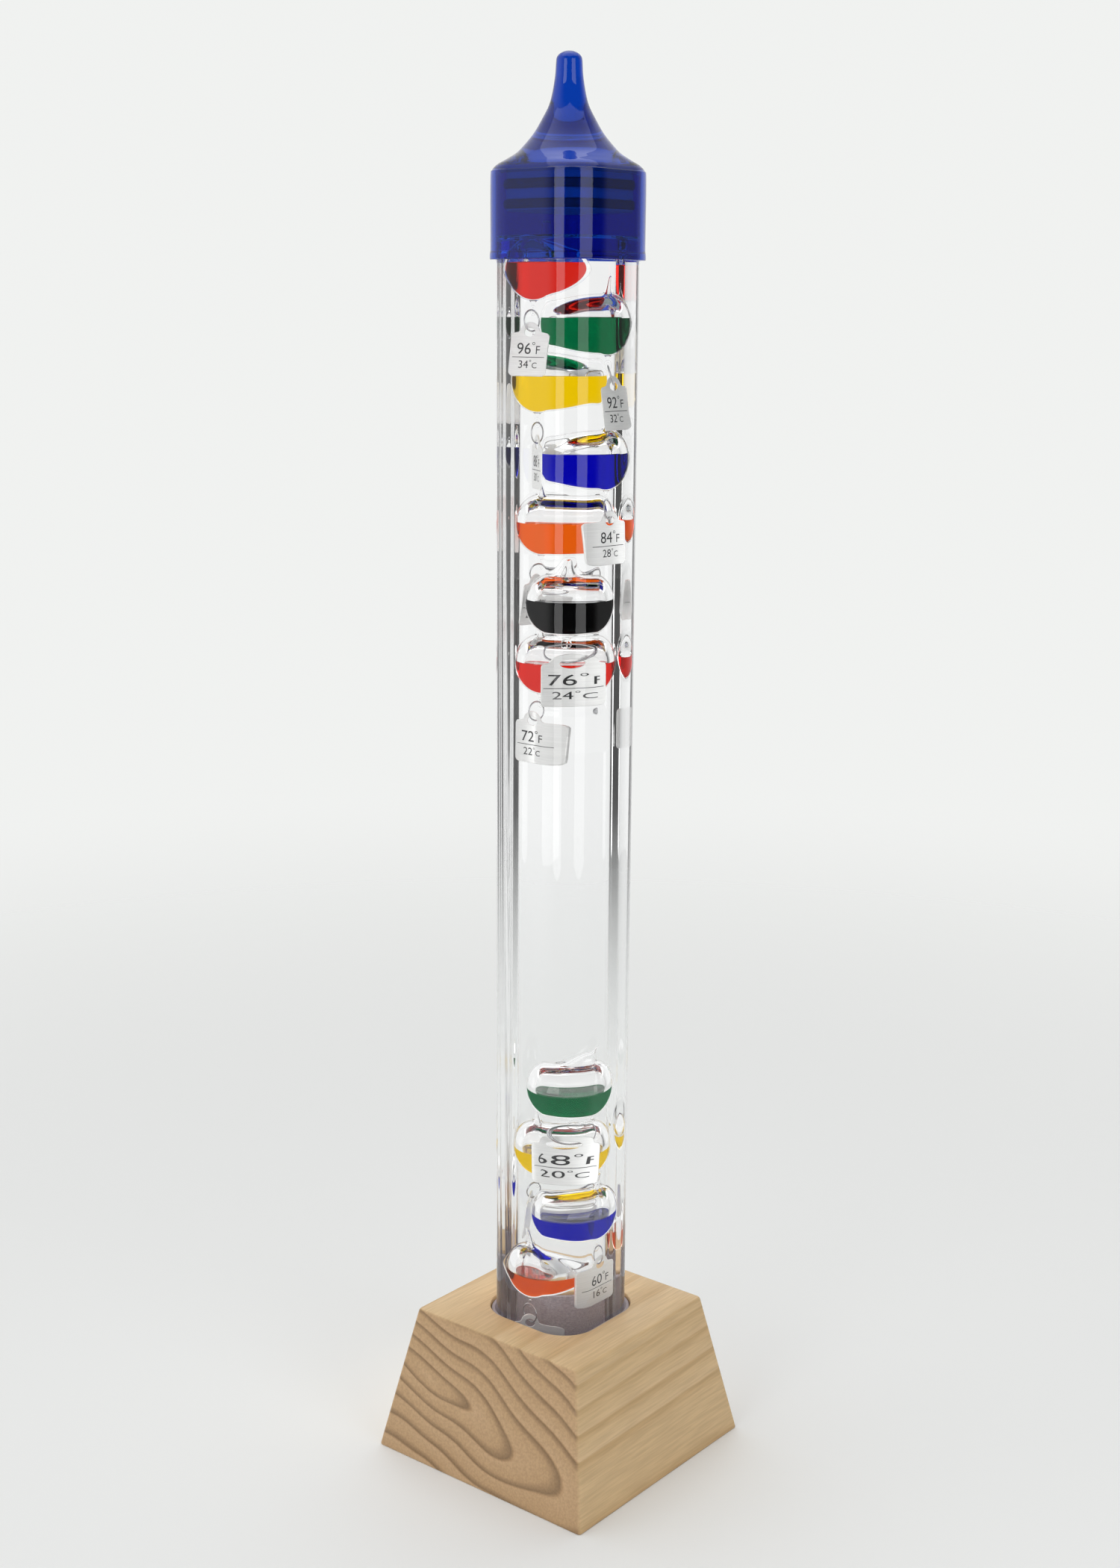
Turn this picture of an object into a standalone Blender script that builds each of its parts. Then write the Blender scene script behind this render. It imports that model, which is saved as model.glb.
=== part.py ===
"""Galileo thermometer: a liquid-filled rounded-square glass column in a tapered wooden base.

Eleven glass bulbs, each part filled with coloured liquid, float in the column in temperature order.
Every bulb carries a stamped metal tag on a wire ring. The column is closed by a ribbed stopper and
a cap with a drawn finial. Units are metres, +Z is up, and the origin is the middle of the base's
underside. Run with: blender --background --python part.py
"""

import math
from dataclasses import dataclass

import bmesh
import bpy
import numpy as np
from mathutils import Matrix, Vector

MM = 0.001

# Clearances
SEAT_GAP = 0.35 * MM  # between pieces that rest in or on each other
LIQUID_GAP = 0.3 * MM  # between a bulb's glass and the liquid inside it

# Wooden base
BASE_BOTTOM_SIDE = 83.8 * MM
BASE_TOP_SIDE = 64.8 * MM
BASE_HEIGHT = 47.2 * MM
BASE_EDGE = 1.0 * MM
POCKET_DEPTH = 30.0 * MM
LINER_THICKNESS = 1.0 * MM
LINER_DROP = 1.0 * MM  # from the base's top face down to the liner's edge
POCKET_CORNER = 7.8 * MM

# Glass column
COLUMN_SIDE = 35.5 * MM
COLUMN_CORNER = 10.6 * MM
COLUMN_WALL = 1.8 * MM
COLUMN_FLOOR = 4.0 * MM
COLUMN_LENGTH = 379.0 * MM

# Stopper in the mouth of the column
STOPPER_DEPTH = 10.5 * MM
STOPPER_SLACK = 1.2 * MM  # beside the plug, where its ribs seal
STOPPER_FLANGE = 1.2 * MM
RIB_HEIGHT = 2.6 * MM
RIB_BITE = 0.5 * MM  # how far a rib's groove goes into the plug
RIB_DROPS = (3.2 * MM, 8.7 * MM)  # middle of each rib, below the column's lip

# Cap
CAP_WALL = 1.4 * MM
CAP_LIP_FLARE = 0.35 * MM
CAP_LIP_HEIGHT = 1.6 * MM
CAP_SKIRT = 24.0 * MM  # from the column's lip down to the cap's rim
CAP_ROOF = 2.6 * MM  # thickness over the stopper
CAP_SHOULDER = 4.5 * MM  # rise of the rounded edge between the skirt and the roof
FINIAL_HEIGHT = 29.6 * MM
FINIAL_FOOT = 16.6 * MM
FINIAL_WAIST = 4.3 * MM
FINIAL_TIP = 3.7 * MM

# Bulbs
BULB_RADIUS = 9.1 * MM
BULB_WALL = 0.8 * MM
STEM_HEIGHT = 5.2 * MM
STEM_FOOT = 1.9 * MM
STEM_TIP = 0.75 * MM
STEM_BORE = 0.3 * MM
EYE_DROP = 2.7 * MM  # from the bottom of the sphere to the middle of its eye
EYE_RADIUS = 1.2 * MM
EYE_THICKNESS = 0.36 * MM

# Wire rings and tags
RING_RADIUS = 3.0 * MM
WIRE_RADIUS = 0.25 * MM
TAG_WIDTH = 13.0 * MM
TAG_HEIGHT = 13.0 * MM
TAG_CORNER = 1.4 * MM
TAG_THICKNESS = 0.4 * MM
WIRE_PLAY = 0.65 * MM  # between the wire and the top of the hole
TAB_RADIUS = 3.7 * MM
TAB_RISE = 3.0 * MM  # from the tag's shoulders to the top of its tab
HOLE_HALF_WIDTH = 1.9 * MM
HOLE_HALF_HEIGHT = 1.35 * MM
HOLE_DROP = 3.0 * MM  # from the top of the tab to the middle of the hole
HANG_DROP = HOLE_DROP - HOLE_HALF_HEIGHT + WIRE_RADIUS + WIRE_PLAY  # to the wire it hangs on

# Facets
TURN_STEPS = 12
CORNER_STEPS = 6


@dataclass(frozen=True)
class Float:
    """One bulb with its ring and tag. Places are in mm and angles in degrees."""

    label: str  # the temperature on its tag, in degrees Fahrenheit
    colour: str
    centre: tuple  # middle of its sphere; its height is above the column's foot, or below its lip if negative
    stem_lean: tuple  # how far the drawn stem's tip leans along X and Y
    level: float  # surface of its liquid above the middle of the sphere
    ring_lean: float  # the ring's lean from the vertical
    ring_toward: float  # the direction in plan that the ring leans in
    tag_turn: float  # the direction in plan of the tag's width
    tag_lean: float  # lean of the tag's lower edge, forwards
    ring_turn: float  # the ring's turn in plan from the tag's width


FLOATS = (
    Float("96", "red", (-5.1, -3.5, -26.4), (0.0, 0.0), 1.8, 17, 260, 10, 17, 130),
    Float("92", "green", (2.8, 6.0, -41.9), (1.0, 0.5), 2.0, 23, 50, 95, 13, 130),
    Float("88", "yellow", (-5.4, 0.6, -58.4), (-2.0, -0.5), 1.8, 0, 0, -50, 0, 55),
    Float("84", "blue", (2.4, 6.1, -80.9), (0.8, 0.5), 1.9, 17, 35, 78, 5, 140),
    Float("80", "orange", (-6.4, 6.4, -100.4), (-1.8, 0.6), 1.0, 24, 170, 80, -11, 40),
    Float("76", "black", (-0.2, 1.5, -123.4), (1.2, -0.9), 1.3, 32, 320, 70, 0, 48),
    Float("72", "red", (-6.5, 6.5, -142.4), (-2.4, 1.6), 0.8, 28, 220, 0, 2, 125),
    Float("68", "green", (0.3, 3.1, 102.9), (2.2, 1.4), -0.2, 28, 285, 33, 10, 132),
    Float("64", "yellow", (-6.4, 6.4, 81.1), (-1.6, 0.9), -0.4, 24, 190, -77, 8, 43),
    Float("60", "blue", (1.5, 5.4, 60.6), (2.6, 0.2), -0.3, 32, 0, 85, 0, 75),
    Float("56", "orange", (-4.9, -2.4, 41.6), (-1.0, -1.0), -0.4, 0, 0, 40, 0, 51),
)

# Heights that follow from the sizes
POCKET_FLOOR = BASE_HEIGHT - POCKET_DEPTH
LINER_FLOOR = POCKET_FLOOR + SEAT_GAP
COLUMN_FOOT = LINER_FLOOR + LINER_THICKNESS + SEAT_GAP
COLUMN_LIP = COLUMN_FOOT + COLUMN_LENGTH
LINER_BORE_SIDE = COLUMN_SIDE + 2 * SEAT_GAP
POCKET_SIDE = LINER_BORE_SIDE + 2 * (LINER_THICKNESS + SEAT_GAP)
STOPPER_TOP = COLUMN_LIP + SEAT_GAP + STOPPER_FLANGE
CAP_RIM = COLUMN_LIP - CAP_SKIRT
CAP_BORE_SIDE = COLUMN_SIDE + 2 * SEAT_GAP
CAP_BORE_TOP = STOPPER_TOP + SEAT_GAP
CAP_TOP = CAP_BORE_TOP + CAP_ROOF
CAP_SIDE = CAP_BORE_SIDE + 2 * CAP_WALL


def clear_scene():
    """Remove every object and collection that the scene starts with."""
    for thing in list(bpy.data.objects):
        bpy.data.objects.remove(thing, do_unlink=True)
    for collection in list(bpy.data.collections):
        bpy.data.collections.remove(collection)


def new_collection(name, hidden=False):
    """Make a collection in the scene, hidden from renders where it holds cutters."""
    collection = bpy.data.collections.new(name)
    collection.hide_render = hidden
    bpy.context.scene.collection.children.link(collection)
    return collection


def new_material(name, colour, roughness, metallic=0.0, transmission=0.0):
    """Make a Principled material with the piece's own colour and finish."""
    material = bpy.data.materials.new(name)
    material.use_nodes = True
    shader = material.node_tree.nodes["Principled BSDF"]
    shader.inputs["Base Color"].default_value = (*colour, 1.0)
    shader.inputs["Roughness"].default_value = roughness
    shader.inputs["Metallic"].default_value = metallic
    shader.inputs["Transmission Weight"].default_value = transmission
    material.diffuse_color = (*colour, 1.0)
    return material


def place(name, data, collection, material=None):
    """Put mesh or curve data into the scene as one named object."""
    thing = bpy.data.objects.new(name, data)
    collection.objects.link(thing)
    if material is not None:
        data.materials.clear()
        data.materials.append(material)
    return thing


def finished_mesh(thing, name):
    """Return the object's evaluated shape as a welded mesh, and remove the object."""
    bpy.context.view_layer.update()
    graph = bpy.context.evaluated_depsgraph_get()
    mesh = bpy.data.meshes.new_from_object(thing.evaluated_get(graph))
    mesh.name = name
    shape = bmesh.new()
    shape.from_mesh(mesh)
    bmesh.ops.remove_doubles(shape, verts=shape.verts, dist=0.00001)
    bmesh.ops.recalc_face_normals(shape, faces=shape.faces)
    shape.to_mesh(mesh)
    shape.free()
    bpy.data.objects.remove(thing, do_unlink=True)
    return mesh


def shade(mesh, degrees=40):
    """Shade a round piece smooth, with its real edges kept sharp."""
    mesh.shade_smooth()
    mesh.set_sharp_from_angle(angle=math.radians(degrees))


def rounded_square(side, corner):
    """Return the outline of a square with round corners, anticlockwise, as an array of x and y."""
    inset = side / 2 - corner
    steps = np.linspace(0, math.pi / 2, CORNER_STEPS + 1)
    arcs = []
    for quarter in range(4):
        middle = np.array([(1, 1), (-1, 1), (-1, -1), (1, -1)][quarter]) * inset
        angles = steps + quarter * math.pi / 2
        arcs.append(middle + corner * np.stack([np.cos(angles), np.sin(angles)], axis=1))
    return np.concatenate(arcs)


def outline_curve(name, outlines, thickness):
    """Make a flat curve of closed outlines, filled and extruded to the thickness about Z = 0."""
    curve = bpy.data.curves.new(name, "CURVE")
    curve.dimensions = "2D"
    curve.fill_mode = "BOTH"
    curve.extrude = thickness / 2
    for outline in outlines:
        spline = curve.splines.new("POLY")
        spline.points.add(len(outline) - 1)
        for point, (x, y) in zip(spline.points, outline):
            point.co = (x, y, 0.0, 1.0)
        spline.use_cyclic_u = True
    return curve


def prism(name, side, corner, bottom, top, collection):
    """Make an upright rounded-square prism as a mesh object."""
    curve = outline_curve(name, [rounded_square(side, corner)], top - bottom)
    mesh = finished_mesh(place(name, curve, collection), name)
    mesh.transform(Matrix.Translation((0, 0, (top + bottom) / 2)))
    return place(name, mesh, collection)


def as_cutter(thing):
    """Show a cutter as wire only, and leave it out of renders."""
    thing.hide_render = True
    thing.display_type = "WIRE"
    return thing


def boolean(thing, other, operation):
    """Cut the other object from this one, or join it to this one."""
    modifier = thing.modifiers.new(other.name, "BOOLEAN")
    modifier.operation = operation
    modifier.solver = "EXACT"
    modifier.object = other
    return modifier


def loft(name, sections):
    """Join rings of equal point count, from first to last, and close both ends."""
    shape = bmesh.new()
    rings = [[shape.verts.new(point) for point in section] for section in sections]
    count = len(rings[0])
    for low, high in zip(rings, rings[1:]):
        for i in range(count):
            j = (i + 1) % count
            shape.faces.new((low[i], low[j], high[j], high[i]))
    shape.faces.new(rings[0][::-1])
    shape.faces.new(rings[-1])
    bmesh.ops.recalc_face_normals(shape, faces=shape.faces)
    mesh = bpy.data.meshes.new(name)
    shape.to_mesh(mesh)
    shape.free()
    return mesh


def turned(name, profile, collection, steps=TURN_STEPS):
    """Turn a profile of radius and height about Z with a Screw modifier, and return its mesh."""
    mesh = bpy.data.meshes.new(name)
    points = [(radius, 0.0, height) for radius, height in profile]
    mesh.from_pydata(points, [(i, i + 1) for i in range(len(points) - 1)], [])
    thing = place(name, mesh, collection)
    screw = thing.modifiers.new("turn", "SCREW")
    screw.steps = steps
    screw.render_steps = steps
    screw.use_merge_vertices = True
    screw.merge_threshold = 0.00001
    return finished_mesh(thing, name)


def build_base(parts, cutters, materials):
    """Tapered wooden block with a rounded-square pocket, and the soft liner in the pocket."""
    shape = bmesh.new()
    bmesh.ops.create_cube(shape, size=1.0)
    for vert in shape.verts:
        side = BASE_TOP_SIDE if vert.co.z > 0 else BASE_BOTTOM_SIDE
        height = BASE_HEIGHT if vert.co.z > 0 else 0.0
        vert.co = Vector((vert.co.x * side, vert.co.y * side, height))
    mesh = bpy.data.meshes.new("base_block")
    shape.to_mesh(mesh)
    shape.free()
    base = place("base_block", mesh, parts, materials["pine"])
    edge = base.modifiers.new("rounded edges", "BEVEL")
    edge.width = BASE_EDGE
    edge.segments = 2
    above = BASE_HEIGHT + 5 * MM
    pocket = prism("pocket_cutter", POCKET_SIDE, POCKET_CORNER, POCKET_FLOOR, above, cutters)
    boolean(base, as_cutter(pocket), "DIFFERENCE")

    liner_side = POCKET_SIDE - 2 * SEAT_GAP
    liner_top = BASE_HEIGHT - LINER_DROP
    liner = prism(
        "pocket_liner", liner_side, POCKET_CORNER - SEAT_GAP, LINER_FLOOR, liner_top, parts
    )
    liner.data.materials.append(materials["liner"])
    bore_corner = COLUMN_CORNER + SEAT_GAP
    bore = prism(
        "liner_cutter", LINER_BORE_SIDE, bore_corner, LINER_FLOOR + LINER_THICKNESS, above, cutters
    )
    boolean(liner, as_cutter(bore), "DIFFERENCE")


def build_column(parts, cutters, materials):
    """Glass column, closed at its foot and open at its lip."""
    column = prism("glass_column", COLUMN_SIDE, COLUMN_CORNER, COLUMN_FOOT, COLUMN_LIP, parts)
    column.data.materials.append(materials["glass"])
    inner_side = COLUMN_SIDE - 2 * COLUMN_WALL
    inner = prism(
        "column_cutter",
        inner_side,
        COLUMN_CORNER - COLUMN_WALL,
        COLUMN_FOOT + COLUMN_FLOOR,
        COLUMN_LIP + 5 * MM,
        cutters,
    )
    boolean(column, as_cutter(inner), "DIFFERENCE")
    shade(column.data)


def build_stopper(parts, materials):
    """Plug with a flange on the column's lip and two grooves, and a sealing ring in each groove."""
    bore = COLUMN_SIDE - 2 * COLUMN_WALL
    plug = bore - 2 * STOPPER_SLACK
    groove = plug - 2 * RIB_BITE
    flange = COLUMN_SIDE - 2 * SEAT_GAP
    heights = [(flange, STOPPER_TOP), (flange, COLUMN_LIP + SEAT_GAP), (plug, COLUMN_LIP + SEAT_GAP)]
    for drop in RIB_DROPS:
        high = COLUMN_LIP - drop + RIB_HEIGHT / 2
        low = high - RIB_HEIGHT
        heights += [(plug, high), (groove, high), (groove, low), (plug, low)]
    heights.append((plug, COLUMN_LIP - STOPPER_DEPTH))
    sections = []
    for side, height in reversed(heights):
        corner = COLUMN_CORNER - (COLUMN_SIDE - side) / 2
        sections.append([(x, y, height) for x, y in rounded_square(side, corner)])
    place("stopper", loft("stopper", sections), parts, materials["stopper"])

    for name, drop in zip(("upper_seal_ring", "lower_seal_ring"), RIB_DROPS):
        outer = bore - 2 * SEAT_GAP
        inner = groove + 2 * SEAT_GAP
        outlines = []
        for side in (outer, inner):
            corner = COLUMN_CORNER - (COLUMN_SIDE - side) / 2
            outlines.append(rounded_square(side, corner))
        curve = outline_curve(name, outlines, RIB_HEIGHT - 2 * SEAT_GAP)
        mesh = finished_mesh(place(name, curve, parts), name)
        mesh.transform(Matrix.Translation((0, 0, COLUMN_LIP - drop)))
        place(name, mesh, parts, materials["seal"])


def finial_profile():
    """Return the finial's radius and height, from its foot on the roof up to its round tip."""
    rise = np.linspace(0.0, 1.0, 10)[1:]
    # The side sweeps in from the foot to a slim neck, which narrows a little to the tip.
    sweep = (FINIAL_FOOT - FINIAL_WAIST) * (1 - rise) ** 2.2
    neck = FINIAL_WAIST + (FINIAL_TIP - FINIAL_WAIST) * rise
    side = list(zip(sweep + neck, CAP_TOP + rise * (FINIAL_HEIGHT - FINIAL_TIP)))
    crown = CAP_TOP + FINIAL_HEIGHT - FINIAL_TIP
    turns = np.radians((25, 50, 72))
    dome = [(FINIAL_TIP * math.cos(t), crown + FINIAL_TIP * math.sin(t)) for t in turns]
    return side + dome


def build_cap(parts, cutters, materials):
    """Cap: a rounded-square skirt that blends through its shoulder into a round finial."""
    corner = COLUMN_CORNER + SEAT_GAP + CAP_WALL
    flared = CAP_SIDE + 2 * CAP_LIP_FLARE
    rings = [
        (flared, corner + CAP_LIP_FLARE, CAP_RIM),
        (flared, corner + CAP_LIP_FLARE, CAP_RIM + CAP_LIP_HEIGHT),
        (CAP_SIDE, corner, CAP_RIM + CAP_LIP_HEIGHT + 2 * CAP_LIP_FLARE),
    ]
    shoulder = CAP_TOP - CAP_SHOULDER
    for turn in np.radians((0, 30, 60, 90)):
        side = CAP_SIDE - 2 * CAP_SHOULDER * (1 - math.cos(turn))
        rings.append((side, corner, shoulder + CAP_SHOULDER * math.sin(turn)))
    sections = [[(x, y, z) for x, y in rounded_square(side, radius)] for side, radius, z in rings]
    flat = rounded_square(rings[-1][0], corner)
    around = np.arctan2(flat[:, 1], flat[:, 0])
    for radius, height in finial_profile():
        sections.append([(radius * math.cos(a), radius * math.sin(a), height) for a in around])
    cap = place("cap", loft("cap", sections), parts, materials["cap"])
    bore_corner = COLUMN_CORNER + SEAT_GAP
    below = CAP_RIM - 5 * MM
    bore = prism("cap_cutter", CAP_BORE_SIDE, bore_corner, below, CAP_BORE_TOP, cutters)
    boolean(cap, as_cutter(bore), "DIFFERENCE")
    shade(cap.data)


def bulb_mesh(parts):
    """Hollow sphere with a drawn stem, whose fine bore opens at its tip, and a nub with an eye."""
    inner = BULB_RADIUS - BULB_WALL
    stem_top = BULB_RADIUS + STEM_HEIGHT
    up = np.radians(np.linspace(-90, 82, 8))
    inside = [(inner * math.cos(t), inner * math.sin(t)) for t in up]
    inside[0] = (0.0, -inner)
    inside.append((STEM_BORE, inner))
    down = np.radians(np.linspace(75, -82, 8))
    outside = [(BULB_RADIUS * math.cos(t), BULB_RADIUS * math.sin(t)) for t in down]
    stem = [
        (STEM_BORE, stem_top),
        (STEM_TIP, stem_top),
        (STEM_TIP * 1.3, stem_top - STEM_HEIGHT * 0.4),
        (STEM_FOOT * 0.75, BULB_RADIUS + STEM_HEIGHT * 0.22),
    ]
    nub = BULB_RADIUS + EYE_DROP - EYE_RADIUS
    foot = [(EYE_RADIUS * 0.9, -nub + 0.3 * MM), (EYE_RADIUS * 0.6, -nub), (0.0, -nub)]
    body = place("bulb", turned("bulb", inside + stem + outside + foot, parts), parts)
    bpy.ops.mesh.primitive_torus_add(
        major_radius=EYE_RADIUS,
        minor_radius=EYE_THICKNESS,
        major_segments=10,
        minor_segments=5,
        location=(0, 0, -BULB_RADIUS - EYE_DROP),
        rotation=(math.pi / 2, 0, 0),
    )
    eye = bpy.context.object
    boolean(body, eye, "UNION")
    mesh = finished_mesh(body, "bulb")
    bpy.data.objects.remove(eye, do_unlink=True)
    return mesh


def lean_stem(mesh, lean):
    """Bend the drawn stem so that its tip leans by the two lengths given, smoothly from its foot."""
    points = np.empty(len(mesh.vertices) * 3)
    mesh.vertices.foreach_get("co", points)
    points = points.reshape(-1, 3)
    share = np.clip((points[:, 2] - BULB_RADIUS) / STEM_HEIGHT, 0.0, 1.0) ** 1.6
    points[:, 0] += lean[0] * share
    points[:, 1] += lean[1] * share
    mesh.vertices.foreach_set("co", points.ravel())
    mesh.update()


def liquid_mesh(name, level, parts):
    """Coloured liquid: the part of a sphere below its level surface."""
    radius = BULB_RADIUS - BULB_WALL - LIQUID_GAP
    top = math.asin(level / radius)
    turns = np.linspace(top, -math.pi / 2, 6)
    side = [(radius * math.cos(t), radius * math.sin(t)) for t in turns[:-1]]
    return turned(name, [(0.0, level)] + side + [(0.0, -radius)], parts)


def tag_outlines():
    """Return the tag's outline, a plate under a domed tab, and its oval hole, from where it hangs."""
    half = TAG_WIDTH / 2
    shoulder = HANG_DROP - TAB_RISE
    foot = shoulder - TAG_HEIGHT
    points = []
    for x, y, start in ((half, foot, -90), (half, shoulder, 0)):
        middle = (x - TAG_CORNER, y + TAG_CORNER if start < 0 else y - TAG_CORNER)
        for turn in np.radians(np.linspace(start, start + 90, 4)):
            across, along = TAG_CORNER * math.cos(turn), TAG_CORNER * math.sin(turn)
            points.append((middle[0] + across, middle[1] + along))
    dome = HANG_DROP - TAB_RADIUS
    dip = math.asin((shoulder - dome) / TAB_RADIUS)
    for turn in np.linspace(dip, math.pi / 2, 6):
        points.append((TAB_RADIUS * math.cos(turn), dome + TAB_RADIUS * math.sin(turn)))
    mirrored = [(-x, y) for x, y in reversed(points[:-1])]
    turns = np.linspace(0, 2 * math.pi, 12, endpoint=False)
    middle = HANG_DROP - HOLE_DROP
    hole = [(HOLE_HALF_WIDTH * math.cos(t), middle + HOLE_HALF_HEIGHT * math.sin(t)) for t in turns]
    return points + mirrored, hole


def frame_matrix(across, up, origin):
    """Return the matrix that lays local X along across and local Y along up, at the origin."""
    normal = across.cross(up).normalized()
    up = normal.cross(across).normalized()
    turn = Matrix((across, up, normal)).transposed().to_4x4()
    return Matrix.Translation(origin) @ turn


def float_centre(item):
    """Return the middle of one float's sphere, measured from the column's lip or its foot."""
    x, y, height = Vector(item.centre) * MM
    return Vector((x, y, height + (COLUMN_LIP if height < 0 else COLUMN_FOOT)))


def hang_points(item):
    """Return the eye, the tag's hole, and the directions of the ring and the tag of one float."""
    centre = float_centre(item)
    lean, toward = math.radians(item.ring_lean), math.radians(item.ring_toward)
    down = Vector((math.cos(toward), math.sin(toward), 0)) * math.sin(lean)
    down.z = -math.cos(lean)
    eye = centre + Vector((0, 0, -BULB_RADIUS - EYE_DROP))
    hole = eye + 2 * RING_RADIUS * down
    turn, tip = math.radians(item.tag_turn), math.radians(item.tag_lean)
    across = Vector((math.cos(turn), math.sin(turn), 0))
    forward = Vector((math.sin(turn), -math.cos(turn), 0))
    tag_up = Vector((0, 0, math.cos(tip))) - forward * math.sin(tip)
    yaw = math.radians(item.ring_turn)
    ring_side = across * math.cos(yaw) + forward * math.sin(yaw)
    ring_side = (ring_side - down * ring_side.dot(down)).normalized()
    return eye, hole, down, ring_side, across, tag_up


def build_float(item, bulb, tag, parts, materials):
    """One bulb with its liquid, wire ring and tag, each with its origin where it turns."""
    eye, hole, down, ring_side, across, tag_up = hang_points(item)
    mesh = bulb.copy()
    turn = math.atan2(ring_side.y, ring_side.x) - math.pi / 2
    local = Matrix.Rotation(-turn, 2) @ Vector(item.stem_lean)
    lean_stem(mesh, local * MM)
    shade(mesh, 60)
    glass = place(f"bulb_{item.label}F", mesh, parts, materials["bulb"])
    glass.location = float_centre(item)
    glass.rotation_euler = (0, 0, turn)

    name = f"liquid_{item.label}F"
    liquid_shape = liquid_mesh(name, item.level * MM, parts)
    shade(liquid_shape)
    liquid = place(name, liquid_shape, parts, materials[item.colour])
    liquid.location = float_centre(item)
    liquid.rotation_euler = (0, 0, turn)

    bpy.ops.mesh.primitive_torus_add(
        major_radius=RING_RADIUS, minor_radius=WIRE_RADIUS, major_segments=16, minor_segments=5
    )
    torus = bpy.context.object
    ring_mesh = finished_mesh(torus, f"ring_{item.label}F")
    shade(ring_mesh, 80)
    # The torus lies in its own XY plane, so its middle stays half-way between eye and hole.
    ring_mesh.transform(Matrix.Translation((0, -RING_RADIUS, 0)))
    ring = place(f"ring_{item.label}F", ring_mesh, parts, materials["wire"])
    ring.matrix_world = frame_matrix(ring_side, -down, eye)

    plate = place(f"tag_{item.label}F", tag.copy(), parts, materials["tag"])
    plate.matrix_world = frame_matrix(across, tag_up, hole)


def main():
    """Build the whole thermometer."""
    clear_scene()
    parts = new_collection("galileo_thermometer")
    cutters = new_collection("cutters", hidden=True)
    materials = {
        "pine": new_material("pine", (0.62, 0.40, 0.21), 0.55),
        "liner": new_material("liner", (0.62, 0.60, 0.68), 0.9),
        "glass": new_material("column_glass", (0.95, 0.97, 0.98), 0.03, transmission=1.0),
        "bulb": new_material("bulb_glass", (0.95, 0.97, 0.98), 0.03, transmission=1.0),
        "cap": new_material("cap_blue", (0.01, 0.05, 0.42), 0.08),
        "stopper": new_material("stopper", (0.25, 0.28, 0.40), 0.4),
        "seal": new_material("seal_rubber", (0.02, 0.02, 0.04), 0.6),
        "wire": new_material("steel_wire", (0.70, 0.70, 0.72), 0.25, metallic=1.0),
        "tag": new_material("tag_metal", (0.80, 0.80, 0.82), 0.35, metallic=1.0),
        "red": new_material("red_liquid", (0.75, 0.04, 0.02), 0.05),
        "green": new_material("green_liquid", (0.0, 0.20, 0.08), 0.05),
        "yellow": new_material("yellow_liquid", (0.90, 0.60, 0.0), 0.05),
        "blue": new_material("blue_liquid", (0.0, 0.0, 0.45), 0.05),
        "orange": new_material("orange_liquid", (0.85, 0.18, 0.0), 0.05),
        "black": new_material("black_liquid", (0.01, 0.01, 0.01), 0.05),
    }
    build_base(parts, cutters, materials)
    build_column(parts, cutters, materials)
    build_stopper(parts, materials)
    build_cap(parts, cutters, materials)
    bulb = bulb_mesh(parts)
    outlines = tag_outlines()
    tag = finished_mesh(place("tag", outline_curve("tag", outlines, TAG_THICKNESS), parts), "tag")
    for item in FLOATS:
        build_float(item, bulb, tag, parts, materials)


main()
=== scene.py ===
"""Looks of a galileo thermometer: a filled square glass column with coloured floats on a wooden base.

All sizes are in millimetres, and the frame's origin is the middle of the base's underside, +Z up.
"""

import logging
import math
from dataclasses import dataclass, field
from enum import Enum

import bpy
import numpy as np
from mathutils import Matrix

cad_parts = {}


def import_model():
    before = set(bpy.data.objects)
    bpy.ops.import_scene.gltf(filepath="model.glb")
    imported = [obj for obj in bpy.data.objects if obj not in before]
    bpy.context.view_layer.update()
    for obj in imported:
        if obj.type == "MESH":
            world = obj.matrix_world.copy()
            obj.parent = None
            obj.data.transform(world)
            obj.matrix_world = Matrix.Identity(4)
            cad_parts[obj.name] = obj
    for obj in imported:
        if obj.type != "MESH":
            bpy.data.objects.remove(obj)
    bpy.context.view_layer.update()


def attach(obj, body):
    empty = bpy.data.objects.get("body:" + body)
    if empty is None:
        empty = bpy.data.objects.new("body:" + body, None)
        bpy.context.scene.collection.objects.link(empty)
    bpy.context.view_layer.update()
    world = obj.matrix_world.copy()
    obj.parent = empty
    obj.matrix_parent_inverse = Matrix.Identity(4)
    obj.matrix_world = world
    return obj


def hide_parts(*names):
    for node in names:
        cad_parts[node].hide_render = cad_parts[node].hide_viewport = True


LOG = logging.getLogger("galileo_thermometer")
MM = 0.001
TURN_STEPS = 64
SIDE_LEAN = -0.45
SIDE_RANGE = (-0.6, 0.45)
SIDE_LIGHT = (0.045, 0.93)


# ---------------------------------------------------------------- surfaces

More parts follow.
